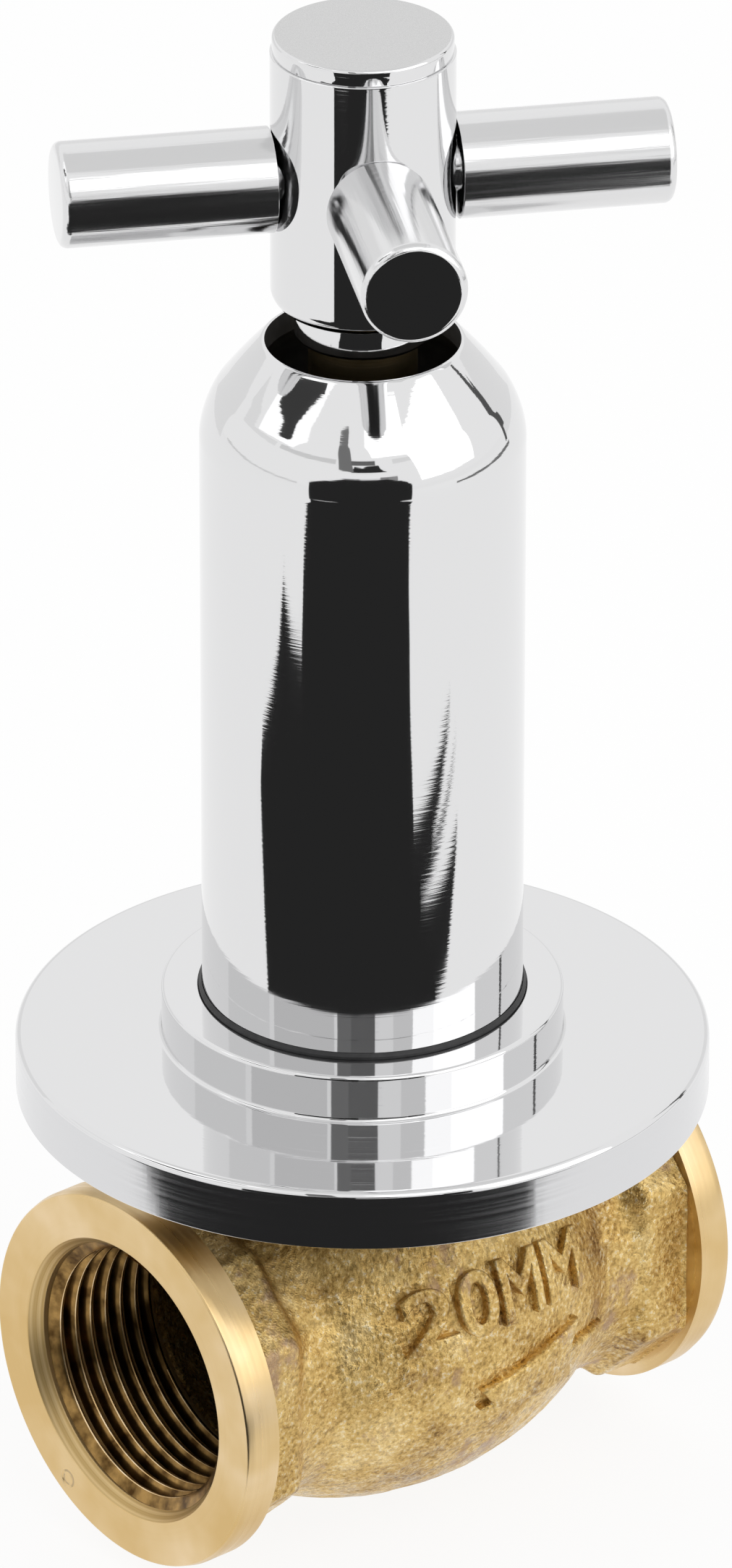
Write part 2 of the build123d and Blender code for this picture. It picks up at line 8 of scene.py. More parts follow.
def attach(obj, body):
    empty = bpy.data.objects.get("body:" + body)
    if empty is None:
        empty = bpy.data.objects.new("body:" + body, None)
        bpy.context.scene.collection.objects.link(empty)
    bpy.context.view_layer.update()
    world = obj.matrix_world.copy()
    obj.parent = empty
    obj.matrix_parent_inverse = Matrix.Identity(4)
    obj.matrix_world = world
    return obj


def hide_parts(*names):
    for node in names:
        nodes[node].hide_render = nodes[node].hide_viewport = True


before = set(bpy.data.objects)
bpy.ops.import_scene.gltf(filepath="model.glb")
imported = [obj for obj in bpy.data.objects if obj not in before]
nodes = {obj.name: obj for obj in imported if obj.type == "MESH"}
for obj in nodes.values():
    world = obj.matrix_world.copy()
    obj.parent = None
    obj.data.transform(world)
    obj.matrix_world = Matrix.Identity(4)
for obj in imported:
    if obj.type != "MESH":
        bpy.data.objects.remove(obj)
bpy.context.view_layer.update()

# Casting: sand cast brass body with a round belly, an octagonal collar at each end, and the shoulder
# that carries the sleeve. Its skin is lumpy from the sand, and its edges are soft. The chamber inside
# is painted near-black as shade.
pipe_z = -0.0218
pipe_shift = 0.00035
rim_start = 0.0264
voxel = 0.00048
bore_r = 0.0141
bore_start = 0.0145
bore_room = 1.035
skin_top = -0.0015
skin_depth = 0.0002
chamber_reach = 15.6
chamber_r = 18.5
chamber_bow = 0.0173
# Heights over which the belly top darkens towards the flange: dirt mixed with painted shade.
dirt_and_shade_start = -0.015
dirt_and_shade_end = -0.003


def principled(name, color, metallic, roughness):
    material = bpy.data.materials.new(name)
    material.use_nodes = True
    shader = material.node_tree.nodes["Principled BSDF"]
    shader.inputs["Base Color"].default_value = (*color, 1)
    shader.inputs["Metallic"].default_value = metallic
    shader.inputs["Roughness"].default_value = roughness
    return material, material.node_tree, shader


def noise_tex(tree, scale, detail=4.0, rough=0.55, stretch=(1, 1, 1), turn=0.0):
    place = tree.nodes.new("ShaderNodeTexCoord")
    mapping = tree.nodes.new("ShaderNodeMapping")
    mapping.vector_type = "TEXTURE"
    mapping.inputs["Rotation"].default_value = (0, 0, turn)
    mapping.inputs["Scale"].default_value = stretch
    texture = tree.nodes.new("ShaderNodeTexNoise")
    texture.inputs["Scale"].default_value = scale
    texture.inputs["Detail"].default_value = detail
    texture.inputs["Roughness"].default_value = rough
    tree.links.new(place.outputs["Object"], mapping.inputs["Vector"])
    tree.links.new(mapping.outputs["Vector"], texture.inputs["Vector"])
    return texture.outputs["Fac"]


def lathe_tex(tree, scale, axis=(0, 0, 1), center=(0, 0, 0)):
    place = tree.nodes.new("ShaderNodeTexCoord")
    steps = []
    for operation, value in (
        ("SUBTRACT", center), ("MULTIPLY", tuple(1 - a for a in axis)),
        ("LENGTH", None), ("DOT_PRODUCT", axis),
    ):
        step = tree.nodes.new("ShaderNodeVectorMath")
        step.operation = operation
        if value:
            step.inputs[1].default_value = value
        steps.append(step)
    shift, flat, radius, along = steps
    pair = tree.nodes.new("ShaderNodeCombineXYZ")
    texture = tree.nodes.new("ShaderNodeTexNoise")
    texture.inputs["Scale"].default_value = scale
    texture.inputs["Detail"].default_value = 3
    tree.links.new(place.outputs["Object"], shift.inputs[0])
    tree.links.new(shift.outputs[0], flat.inputs[0])
    tree.links.new(flat.outputs[0], radius.inputs[0])
    tree.links.new(place.outputs["Object"], along.inputs[0])
    tree.links.new(radius.outputs["Value"], pair.inputs["X"])
    tree.links.new(along.outputs["Value"], pair.inputs["Y"])
    tree.links.new(pair.outputs[0], texture.inputs["Vector"])
    return texture.outputs["Fac"]


def ramp(tree, source, *stops):
    node = tree.nodes.new("ShaderNodeValToRGB")
    points = node.color_ramp.elements
    while len(points) < len(stops):
        points.new(1.0)
    for point, (place, color) in zip(points, stops):
        point.position = place
        point.color = (*color, 1)
    tree.links.new(source, node.inputs["Fac"])
    return node.outputs["Color"]


def bump(tree, shader, height, distance, strength=1.0, below=None):
    node = tree.nodes.new("ShaderNodeBump")
    node.inputs["Distance"].default_value = distance
    node.inputs["Strength"].default_value = strength
    tree.links.new(height, node.inputs["Height"])
    if below:
        tree.links.new(below.outputs["Normal"], node.inputs["Normal"])
    tree.links.new(node.outputs["Normal"], shader.inputs["Normal"])
    return node


cast_brass, tree, shader = principled("sand_cast_brass", (0.6, 0.42, 0.14), 0.9, 0.4)
patches = noise_tex(tree, 150, 5, 0.6)
grain = noise_tex(tree, 2100, 5, 0.65)
lumps = noise_tex(tree, 520, 4)
scabs = noise_tex(tree, 190, 6, 0.65, (1, 1, 1.5), 0.7)
stained = ramp(
    tree, patches, (0.34, (0.2, 0.1, 0.03)), (0.43, (0.52, 0.33, 0.09)), (0.56, (0.74, 0.52, 0.18)),
    (0.7, (0.9, 0.7, 0.34)),
)
# Fine grain: dark pits, with near-white painted glints at its bright end.
pits_and_glints = ramp(
    tree, grain, (0.36, (0.07, 0.03, 0.01)), (0.44, (0.5, 0.3, 0.1)), (0.56, (0.86, 0.61, 0.24)),
    (0.65, (1.0, 0.94, 0.76)),
)
half = tree.nodes.new("ShaderNodeMix")
half.data_type = "RGBA"
half.inputs["Factor"].default_value = 0.45
tree.links.new(stained, half.inputs[6])
tree.links.new(pits_and_glints, half.inputs[7])
rosy = tree.nodes.new("ShaderNodeMix")
rosy.data_type = "RGBA"
rosy.inputs[7].default_value = (0.42, 0.27, 0.18, 1)
tree.links.new(ramp(tree, scabs, (0.58, (0,) * 3), (0.66, (0.75,) * 3)), rosy.inputs["Factor"])
tree.links.new(half.outputs[2], rosy.inputs[6])
# Belly top darker under the flange: dirt mixed with painted shade from the flange above.
place = tree.nodes.new("ShaderNodeTexCoord")
height = tree.nodes.new("ShaderNodeSeparateXYZ")
dirt_and_shade = tree.nodes.new("ShaderNodeMapRange")
dirt_and_shade.inputs["From Min"].default_value = dirt_and_shade_start
dirt_and_shade.inputs["From Max"].default_value = dirt_and_shade_end
dirt_and_shade.inputs["To Min"].default_value = 1.0
dirt_and_shade.inputs["To Max"].default_value = 0.5
dirt_and_shade_scale = tree.nodes.new("ShaderNodeVectorMath")
dirt_and_shade_scale.operation = "SCALE"
tree.links.new(place.outputs["Object"], height.inputs[0])
tree.links.new(height.outputs["Z"], dirt_and_shade.inputs["Value"])
tree.links.new(dirt_and_shade.outputs[0], dirt_and_shade_scale.inputs["Scale"])
tree.links.new(rosy.outputs[2], dirt_and_shade_scale.inputs[0])
tree.links.new(dirt_and_shade_scale.outputs[0], shader.inputs["Base Color"])
tree.links.new(ramp(tree, lumps, (0.36, (0.5,) * 3), (0.6, (0.16,) * 3)), shader.inputs["Roughness"])
coarse = bump(tree, shader, lumps, 0.00055, 0.8)
coarse = bump(tree, shader, scabs, 0.0005, 0.7, coarse)
bump(tree, shader, grain, 0.00015, 0.9, coarse)

# Chamber inside: near-black painted shade with sparse brass specks, for the faces inside the chamber.
chamber_shade, tree, shader = principled("chamber_shade", (0.01, 0.008, 0.006), 0.5, 0.6)
sparks = noise_tex(tree, 1300, 4, 0.6)
tree.links.new(
    ramp(tree, sparks, (0.63, (0.006, 0.005, 0.004)), (0.7, (0.45, 0.3, 0.1))), shader.inputs["Base Color"]
)
bump(tree, shader, sparks, 0.0003)

casting_mesh = nodes["valve_body"].data.copy()
casting = bpy.data.objects.new("casting", casting_mesh)
bpy.context.scene.collection.objects.link(casting)
form = bmesh.new()
form.from_mesh(casting_mesh)
bmesh.ops.remove_doubles(form, verts=form.verts, dist=0.000001)
form.to_mesh(casting_mesh)
form.free()
remesh = casting.modifiers.new("remesh", "REMESH")
remesh.mode = "VOXEL"
remesh.voxel_size = voxel
skin = bpy.data.meshes.new_from_object(casting.evaluated_get(bpy.context.evaluated_depsgraph_get()))
casting.modifiers.clear()
form = bmesh.new()
form.from_mesh(skin)
for side in (-1, 1):
    bmesh.ops.bisect_plane(
        form, geom=form.verts[:] + form.edges[:] + form.faces[:], clear_outer=True,
        plane_co=(pipe_shift + side * (rim_start - 0.0001), 0, 0), plane_no=(side, 0, 0),
    )
for _ in range(2):
    bmesh.ops.smooth_vert(
        form, verts=form.verts, factor=0.5, use_axis_x=True, use_axis_y=True, use_axis_z=True,
    )
form.normal_update()
for v in form.verts:
    along = abs(v.co.x - pipe_shift)
    out = math.hypot(v.co.y, v.co.z - pipe_z)
    if out < bore_r and along > bore_start:
        v.co.y *= bore_room
        v.co.z = pipe_z + (v.co.z - pipe_z) * bore_room
    elif v.co.z < skin_top:
        soft = 0.5 + noise.noise(v.co * 260) / 2 + noise.noise(v.co * 900) / 5
        v.co -= v.normal * skin_depth * max(0.0, soft)
for f in form.faces:
    f.smooth = True
    middle = f.calc_center_median()
    along = (middle.x - pipe_shift) * 1000
    out = math.hypot(middle.y, middle.z - pipe_z) * 1000
    # Faces inside the chamber take the painted shade.
    if abs(along) < chamber_reach and out < chamber_r - chamber_bow * along * along:
        f.material_index = 1
form.to_mesh(skin)
form.free()
casting.data = skin
skin.materials.clear()
skin.materials.append(cast_brass)
skin.materials.append(chamber_shade)
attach(casting, "root")
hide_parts("valve_body")

# Machined ends: each collar is turned down to a smooth round rim, and bored for the pipe, with a
# bevelled mouth. The cut metal is paler than the cast skin, and shows the tool's fine rings.
rim_r = 18.34
bevel_r = 14.1
face_z = 29.7
bore_face_r = 0.01402
ding_place = (-0.0292, 0.00823, -0.03608)
cut_brass, tree, shader = principled("cut_brass", (0.74, 0.53, 0.3), 1.0, 0.3)
rings = lathe_tex(tree, 1500, (1, 0, 0), (0, 0, pipe_z))
stains = noise_tex(tree, 90, 3)
tree.links.new(
    ramp(tree, stains, (0.35, (0.68, 0.47, 0.2)), (0.55, (0.76, 0.56, 0.29)), (0.72, (0.85, 0.66, 0.41))),
    shader.inputs["Base Color"],
)
tree.links.new(ramp(tree, rings, (0.3, (0.38,) * 3), (0.7, (0.24,) * 3)), shader.inputs["Roughness"])
ringed = bump(tree, shader, rings, 0.00002)
place = tree.nodes.new("ShaderNodeTexCoord")
away = tree.nodes.new("ShaderNodeVectorMath")
away.operation = "DISTANCE"
away.inputs[1].default_value = ding_place
larger = tree.nodes.new("ShaderNodeMath")
larger.operation = "MULTIPLY"
larger.inputs[1].default_value = 300
tree.links.new(place.outputs["Object"], away.inputs[0])
tree.links.new(away.outputs["Value"], larger.inputs[0])
ding = ramp(
    tree, larger.outputs[0], (0.15, (0.5,) * 3), (0.21, (0,) * 3), (0.28, (1,) * 3), (0.33, (0.8,) * 3),
)
bump(tree, shader, ding, 0.0002, 1.0, ringed)

bore_brass, tree, shader = principled("bore_brass", (0.6, 0.4, 0.14), 0.9, 0.42)
scored = lathe_tex(tree, 1800, (1, 0, 0), (0, 0, pipe_z))
tree.links.new(
    ramp(tree, scored, (0.35, (0.5, 0.33, 0.12)), (0.65, (0.84, 0.64, 0.34))), shader.inputs["Base Color"]
)
bump(tree, shader, scored, 0.00004)


def turned(name, profile, rounds, material, steps=192, close=True):
    form = bmesh.new()
    points = [form.verts.new((r, 0, z)) for r, z in profile]
    for a, b in zip(points, points[1:] + points[:1] if close else points[1:]):
        form.edges.new((a, b))
    bmesh.ops.spin(
        form, geom=form.verts[:] + form.edges[:], cent=(0, 0, 0), axis=(0, 0, 1),
        angle=math.tau, steps=steps, use_merge=True,
    )
    bmesh.ops.remove_doubles(form, verts=form.verts, dist=0.0001)
    bmesh.ops.recalc_face_normals(form, faces=form.faces)
    for r, z, reach, segments in rounds:
        hoop = [
            e for e in form.edges
            if all(abs(v.co.z - z) < 0.001 and abs(math.hypot(v.co.x, v.co.y) - r) < 0.001 for v in e.verts)
        ]
        bmesh.ops.bevel(
            form, geom=hoop, affect="EDGES", offset=reach, segments=segments, profile=0.5, material=-1,
            clamp_overlap=True,
        )
    for f in form.faces:
        f.smooth = True
    for e in form.edges:
        e.smooth = e.calc_face_angle(0) < 0.5
    form.transform(Matrix.Scale(0.001, 4))
    mesh = bpy.data.meshes.new(name)
    form.to_mesh(mesh)
    form.free()
    mesh.materials.append(material)
    piece = bpy.data.objects.new(name, mesh)
    bpy.context.scene.collection.objects.link(piece)
    shade = piece.modifiers.new("shade", "WEIGHTED_NORMAL")
    shade.keep_sharp = True
    return piece


for name, turn in (("inlet_end", -90), ("outlet_end", 90)):
    end = turned(
        name,
        [(18.6, 26.1), (18.6, 28.8), (rim_r, face_z), (bevel_r, face_z), (13.25, 28.5), (13.2, 28.3),
         (13.2, 15.2), (13.55, 15.2), (13.55, 26.1)],
        [(rim_r, face_z, 0.15, 3), (bevel_r, face_z, 0.1, 2)],
        cut_brass,
    )
    end.data.materials.append(bore_brass)
    for face in end.data.polygons:
        if math.hypot(face.center.x, face.center.y) < bore_face_r:
            face.material_index = 1
    end.data.transform(
        Matrix.Translation((pipe_shift, 0, pipe_z)) @ Matrix.Rotation(math.radians(turn), 4, "Y")
    )
    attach(end, "root")
    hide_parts("valve_body")

# Pipe threads: cut in both ends with a three quarter inch tap. The crests are painted light as a
# highlight, the roots dark as shade, and both get painted shade towards the chamber.
thread_shades = []
for name, dark, pale in (
    ("thread_crest_highlight", (0.7, 0.46, 0.2), (0.95, 0.76, 0.5)),
    ("thread_root_shade", (0.07, 0.035, 0.01), (0.4, 0.24, 0.08)),
):
    material, tree, shader = principled(name, pale, 1.0, 0.27)
    tint = ramp(tree, noise_tex(tree, 500, 3), (0.34, dark), (0.66, pale))
    place = tree.nodes.new("ShaderNodeTexCoord")
    along = tree.nodes.new("ShaderNodeSeparateXYZ")
    depth = tree.nodes.new("ShaderNodeMath")
    depth.operation = "ABSOLUTE"
    # Painted shade: darker the deeper into the bore.
    gloom = tree.nodes.new("ShaderNodeMapRange")
    gloom.inputs["From Min"].default_value = 0.015
    gloom.inputs["From Max"].default_value = 0.023
    gloom.inputs["To Min"].default_value = 0.3
    shade = tree.nodes.new("ShaderNodeVectorMath")
    shade.operation = "SCALE"
    tree.links.new(place.outputs["Object"], along.inputs[0])
    tree.links.new(along.outputs["X"], depth.inputs[0])
    tree.links.new(depth.outputs[0], gloom.inputs["Value"])
    tree.links.new(tint, shade.inputs[0])
    tree.links.new(gloom.outputs[0], shade.inputs["Scale"])
    tree.links.new(shade.outputs[0], shader.inputs["Base Color"])
    thread_shades.append(material)
pitch = 1.814
thread_turns = 7.4
thread_steps = 96
thread_section = [
    (-0.8, 13.3), (-0.42, 12.65), (-0.16, 12.2), (0, 12.1), (0.16, 12.2), (0.42, 12.65), (0.8, 13.3),
]
crest_r = 12.19
hidden_r = 13.4
run_in = 18
run_out = 9
for name, start in (("inlet_thread", -28.3), ("outlet_thread", 14.9)):
    form = bmesh.new()
    points = [form.verts.new((start + x, 0, r)) for x, r in thread_section]
    for a, b in zip(points, points[1:]):
        form.edges.new((a, b))
    total = int(thread_turns * thread_steps)
    bmesh.ops.spin(
        form, geom=form.verts[:] + form.edges[:], cent=(0, 0, 0), axis=(1, 0, 0),
        dvec=(pitch / thread_steps, 0, 0), angle=math.tau * thread_turns, steps=total,
    )
    form.verts.index_update()
    for v in form.verts:
        share = (v.index // len(thread_section)) / total
        fade = min(1.0, share * run_in, (1 - share) * run_out)
        out = math.hypot(v.co.y, v.co.z)
        sunk = (hidden_r + (out - hidden_r) * fade) / out
        v.co.y *= sunk
        v.co.z *= sunk
    bmesh.ops.recalc_face_normals(form, faces=form.faces)
    for f in form.faces:
        f.smooth = True
        if f.normal.dot(Vector((0, f.calc_center_median().y, f.calc_center_median().z))) > 0:
            f.normal_flip()
        # Faces off the crest take the painted root shade.
        if all(math.hypot(v.co.y, v.co.z) > crest_r for v in f.verts):
            f.material_index = 1
    form.transform(Matrix.Translation((pipe_shift / 2, 0, pipe_z)) @ Matrix.Scale(0.001, 4))
    mesh = bpy.data.meshes.new(name)
    form.to_mesh(mesh)
    form.free()
    for material in thread_shades:
        mesh.materials.append(material)
    thread = bpy.data.objects.new(name, mesh)
    bpy.context.scene.collection.objects.link(thread)
    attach(thread, "root")

# Cast marks on the belly: the size in plain raised figures, and an arrow under them that shows the
# way of the flow. They stand a little proud, with worn edges.
belly_r = 20
belly_bow = 34.12
mark_height = 6.4
mark_turn = 10
arrow_turn = -9
cut_shift = 0.37


def on_belly(form, x0, turn):
    for axis in (0, 1):
        for step in range(-6, 20):
            across = Vector((axis == 0, axis == 1, 0))
            bmesh.ops.bisect_plane(
                form, geom=form.verts[:] + form.edges[:] + form.faces[:],
                plane_co=across * (step + cut_shift), plane_no=across,
            )
    for v in form.verts:
        x = v.co.x + x0
        waist = math.sqrt(belly_bow ** 2 - x * x) - (belly_bow - belly_r)
        around = math.radians(turn) + v.co.y / belly_r
        reach = waist + v.co.z
        v.co = (
            x + pipe_shift * 1000, -reach * math.cos(around), reach * math.sin(around) + pipe_z * 1000,
        )


marks = []
for figure, x0, width in (("2", -10.4, 5.4), ("0", -4.6, 4.4), ("M", 0.3, 5.2), ("M", 6.1, 5.6)):
    text = bpy.data.curves.new("figure", "FONT")
    text.body = figure
    text.size = 9.2
    text.extrude = 0.55
    text.bevel_depth = 0.24
    text.bevel_resolution = 2
    letter = bpy.data.objects.new("figure", text)
    bpy.context.scene.collection.objects.link(letter)
    flat = bpy.data.meshes.new_from_object(letter.evaluated_get(bpy.context.evaluated_depsgraph_get()))
    bpy.data.objects.remove(letter)
    form = bmesh.new()
    form.from_mesh(flat)
    low = Vector((min(v.co.x for v in form.verts), min(v.co.y for v in form.verts), 0))
    high = Vector((max(v.co.x for v in form.verts), max(v.co.y for v in form.verts), 0))
    for v in form.verts:
        v.co.x = (v.co.x - low.x) / (high.x - low.x) * width
        v.co.y = (v.co.y - low.y) / (high.y - low.y) * mark_height
    on_belly(form, x0, mark_turn)
    marks.append(form)
form = bmesh.new()
arrow = [
    (-2.7, -1.3), (-1.4, -0.95), (9.2, -0.95), (8.6, -3.2), (10.2, -3.6), (15.0, 0), (10.2, 3.6), (8.6, 3.2),
    (9.2, 0.95), (-1.4, 1.05), (-2.7, 0.8),
]
bmesh.ops.contextual_create(form, geom=[form.verts.new((x, y, -0.5)) for x, y in arrow])
lifted = bmesh.ops.extrude_face_region(form, geom=form.faces[:])
for v in lifted["geom"]:
    if isinstance(v, bmesh.types.BMVert):
        v.co.z = 0.8
bmesh.ops.recalc_face_normals(form, faces=form.faces)
bmesh.ops.bevel(
    form, geom=[e for e in form.edges if all(v.co.z > 0 for v in e.verts)], affect="EDGES",
    offset=0.35, segments=3, profile=0.5, material=-1,
)
on_belly(form, 0, arrow_turn)
marks.append(form)
mark_mesh = bpy.data.meshes.new("cast_marks")
whole = bmesh.new()
for form in marks:
    form.to_mesh(mark_mesh)
    whole.from_mesh(mark_mesh)
    form.free()
whole.transform(Matrix.Scale(0.001, 4))
for f in whole.faces:
    f.smooth = True
whole.to_mesh(mark_mesh)
whole.free()
mark_mesh.materials.append(cast_brass)
cast_marks = bpy.data.objects.new("cast_marks", mark_mesh)
bpy.context.scene.collection.objects.link(cast_marks)
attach(cast_marks, "root")

# Seat bridge: the S-shaped wall between the two chambers, with the seat in it. It is part of the
# same casting, and takes the chamber's painted shade.
nodes["seat_bridge"].material_slots[0].material = chamber_shade

# Headwork: turned from brass bar, with its fibre gasket, the spindle with two rubber rings, a slippery
# washer and a spring clip, the carriage with its rubber washer and screw, and the extension.
turned_brass, tree, shader = principled("turned_brass", (0.78, 0.58, 0.3), 1.0, 0.26)
lathe_lines = lathe_tex(tree, 1500)
tree.links.new(
    ramp(tree, lathe_lines, (0.35, (0.7, 0.5, 0.24)), (0.65, (0.82, 0.63, 0.36))),
    shader.inputs["Base Color"],
)
bump(tree, shader, lathe_lines, 0.00003)
for name in ("headwork_body", "spindle", "jumper_carriage", "washer_screw", "extension_spindle"):
    nodes[name].material_slots[0].material = turned_brass

fibre, tree, shader = principled("pressed_fibre", (0.42, 0.1, 0.06), 0.0, 0.75)
strands = noise_tex(tree, 900, 5)
tree.links.new(
    ramp(tree, strands, (0.35, (0.3, 0.07, 0.04)), (0.65, (0.5, 0.15, 0.09))), shader.inputs["Base Color"]
)
bump(tree, shader, strands, 0.0001)
nodes["headwork_gasket"].material_slots[0].material = fibre

slippery, tree, shader = principled("white_plastic", (0.86, 0.85, 0.81), 0.0, 0.4)
haze = noise_tex(tree, 500, 3)
tree.links.new(
    ramp(tree, haze, (0.35, (0.8, 0.79, 0.75)), (0.65, (0.88, 0.87, 0.83))), shader.inputs["Base Color"]
)
nodes["thrust_washer"].material_slots[0].material = slippery

spring_steel, tree, shader = principled("spring_steel", (0.5, 0.5, 0.51), 1.0, 0.32)
drawn = noise_tex(tree, 800, 4)
tree.links.new(
    ramp(tree, drawn, (0.35, (0.42, 0.42, 0.43)), (0.65, (0.56, 0.56, 0.57))), shader.inputs["Base Color"]
)
tree.links.new(ramp(tree, drawn, (0.3, (0.26,) * 3), (0.7, (0.4,) * 3)), shader.inputs["Roughness"])
for name in ("spindle_clip", "extension_grub_screw", "handle_lock_washer", "handle_screw"):
    nodes[name].material_slots[0].material = spring_steel

# Rubber: the moulded black rings on the spindle, under the cap and in the flange, and the washer
# that closes the seat.
black_rubber, tree, shader = principled("black_rubber", (0.012, 0.012, 0.013), 0.0, 0.45)
bloom = noise_tex(tree, 900, 4)
tree.links.new(
    ramp(tree, bloom, (0.35, (0.008, 0.008, 0.009)), (0.7, (0.022, 0.022, 0.023))),
    shader.inputs["Base Color"],
)
bump(tree, shader, bloom, 0.00004)
for name in ("spindle_seal_rings", "seat_washer", "hub_cap_ring", "flange_seal_ring"):
    nodes[name].material_slots[0].material = black_rubber

# Sleeve: brass tube turned to a rounded cone at the top, polished and chromed. The mouth is open,
# and its inside is painted dark grey as shade.
sleeve_r = 15.0
shoulder_z = 70.247
bend = (10.95, 75.35)
lip = (9.25, 77.1)
inner = (13.4, 69.67)
mouth_face = 0.07695
chrome, tree, shader = principled("polished_chrome", (0.76, 0.76, 0.765), 1.0, 0.04)
ripple = bump(tree, shader, noise_tex(tree, 60, 2, 0.5), 0.00006, 0.5)
bump(tree, shader, lathe_tex(tree, 3200), 0.0000025, 1.0, ripple)
# Inside of the sleeve: mottled dark grey painted shade.
inner_shade, tree, shader = principled("sleeve_inner_shade", (0.06, 0.06, 0.06), 0.0, 0.6)
shade_mottle = noise_tex(tree, 400, 3)
tree.links.new(
    ramp(tree, shade_mottle, (0.35, (0.045,) * 3), (0.7, (0.08,) * 3)), shader.inputs["Base Color"]
)
sleeve = turned(
    "chromed_sleeve",
    [(13.1, -3.0), (sleeve_r, -3.0), (sleeve_r, shoulder_z), bend, lip, (9.0, 77.1), (9.0, 74.91),
     inner, (13.4, 9.0), (13.1, 9.0)],
    [(sleeve_r, shoulder_z, 2.9, 40), (*bend, 2.1, 20), (*lip, 0.12, 3), (*inner, 3.4, 16)],
    chrome, 256,
)
sleeve.data.materials.append(inner_shade)
# Inward faces below the lip take the painted shade.
for face in sleeve.data.polygons:
    if face.normal.dot(Vector((face.center.x, face.center.y, 0))) < -0.000001 and face.center.z < mouth_face:
        face.material_index = 1
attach(sleeve, "root")
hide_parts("sleeve")

# Wall flange: turned brass disc with a boss, hollow at the back, polished and chromed. Its rim is
# less bright than its face.
flange_r = 32.5
hollow_r = 30.9
boss_r = 18.8
hole_r = 15.35
hollow_z = 3.8
disc_z = 5.8
boss_z = 10.4
rim_face = 0.0323
flange = turned(
    "chromed_flange",
    [(hole_r, 0.5), (boss_r, 0.5), (boss_r, hollow_z), (hollow_r, hollow_z), (hollow_r, 0),
     (flange_r, 0), (flange_r, disc_z), (boss_r, disc_z), (boss_r, boss_z), (hole_r, boss_z),
     (hole_r, 9.4), (16.65, 9.4), (16.65, 7.4), (hole_r, 7.4)],
    [(flange_r, disc_z, 0.75, 8), (boss_r, boss_z, 0.4, 6), (boss_r, disc_z, 0.4, 6),
     (flange_r, 0, 0.15, 3), (hole_r, boss_z, 0.15, 3), (boss_r, hollow_z, 1.0, 4),
     (hollow_r, hollow_z, 1.0, 4)],
    chrome, 256,
)
rim_chrome, tree, shader = principled("rim_chrome", (0.71, 0.71, 0.72), 1.0, 0.1)
rim_lines = lathe_tex(tree, 2400)
tree.links.new(ramp(tree, rim_lines, (0.3, (0.1,) * 3), (0.7, (0.2,) * 3)), shader.inputs["Roughness"])
bump(tree, shader, noise_tex(tree, 260, 3, 0.5, (1, 1, 8)), 0.00003)
flange.data.materials.append(rim_chrome)
for face in flange.data.polygons:
    if abs(face.normal.z) < 0.2 and math.hypot(face.center.x, face.center.y) > rim_face:
        face.material_index = 1
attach(flange, "flange")
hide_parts("wall_flange")

# Handle: a turned hub with a rounded foot and a neck, and three bars screwed in square to it, all
# polished and chromed. The bars are brushed along their length.
hub_r = 8.45
hub_z = 80.9
hub_top = 105.95
neck_r = 6.3
neck_z = 77.7
arm_r = 4.88
arm_root = 8.5
arm_z = 0.0938
hub = turned(
    "chromed_hub",
    [(5.1, neck_z), (neck_r, neck_z), (neck_r, hub_z), (hub_r, hub_z), (hub_r, hub_top), (6.2, hub_top),
     (6.2, 98.85), (4.6, 98.85), (4.6, hub_z), (5.1, hub_z)],
    [(hub_r, hub_z, 1.7, 12), (neck_r, neck_z, 0.5, 6), (hub_r, hub_top, 0.12, 3)],
    chrome, 256,
)
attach(hub, "handle")
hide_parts("handle_hub")

brushed_chrome = {}
for turn in (-30, -120):
    material, tree, shader = principled("brushed_chrome", (0.76, 0.76, 0.765), 1.0, 0.1)
    strokes = noise_tex(tree, 1300, 3, 0.6, (40, 1, 1), math.radians(turn))
    tree.links.new(ramp(tree, strokes, (0.3, (0.08,) * 3), (0.7, (0.2,) * 3)), shader.inputs["Roughness"])
    bump(tree, shader, strokes, 0.00003)
    brushed_chrome[turn] = material
brushed_chrome[150] = brushed_chrome[-30]
for name, turn, reach in (("right_arm", -30, 28.2), ("left_arm", 150, 28.2), ("front_arm", -120, 26.4)):
    bar = turned(
        "chromed_" + name,
        [(0, 4.5), (2.5, 4.5), (2.5, arm_root), (arm_r, arm_root), (arm_r, reach), (0, reach)],
        [(arm_r, reach, 0.8, 10), (arm_r, arm_root, 0.08, 2)],
        brushed_chrome[turn], close=False,
    )
    bar.data.transform(
        Matrix.Translation((0, 0, arm_z)) @ Matrix.Rotation(math.radians(turn), 4, "Z")
        @ Matrix.Rotation(math.radians(90), 4, "Y")
    )
    bar.data.materials.append(chrome)
    outwards = Vector((math.cos(math.radians(turn)), math.sin(math.radians(turn)), 0))
    for face in bar.data.polygons:
        if face.normal.dot(outwards) > 0.9:
            face.material_index = 1
    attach(bar, "handle")
    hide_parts(name)

# Cap: a flat chromed disc with a plug under it, pressed in the hub. It is bright round its edge and
# satin on top.
cap_r = 8.26
cap_top = 107.55
plug_r = 6.1
cap_face = 0.10754
satin, tree, shader = principled("satin_chrome", (0.64, 0.64, 0.64), 1.0, 0.3)
brushed = noise_tex(tree, 4200, 3)
tree.links.new(ramp(tree, brushed, (0.3, (0.24,) * 3), (0.7, (0.36,) * 3)), shader.inputs["Roughness"])
cap = turned(
    "chromed_cap",
    [(0, 102.95), (plug_r, 102.95), (plug_r, hub_top), (cap_r, hub_top), (cap_r, cap_top), (0, cap_top)],
    [(cap_r, cap_top, 0.35, 6), (cap_r, hub_top, 0.12, 3)],
    chrome, 256, close=False,
)
cap.data.materials.append(satin)
for face in cap.data.polygons:
    if face.center.z > cap_face:
        face.material_index = 1
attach(cap, "handle")
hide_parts("hub_cap")

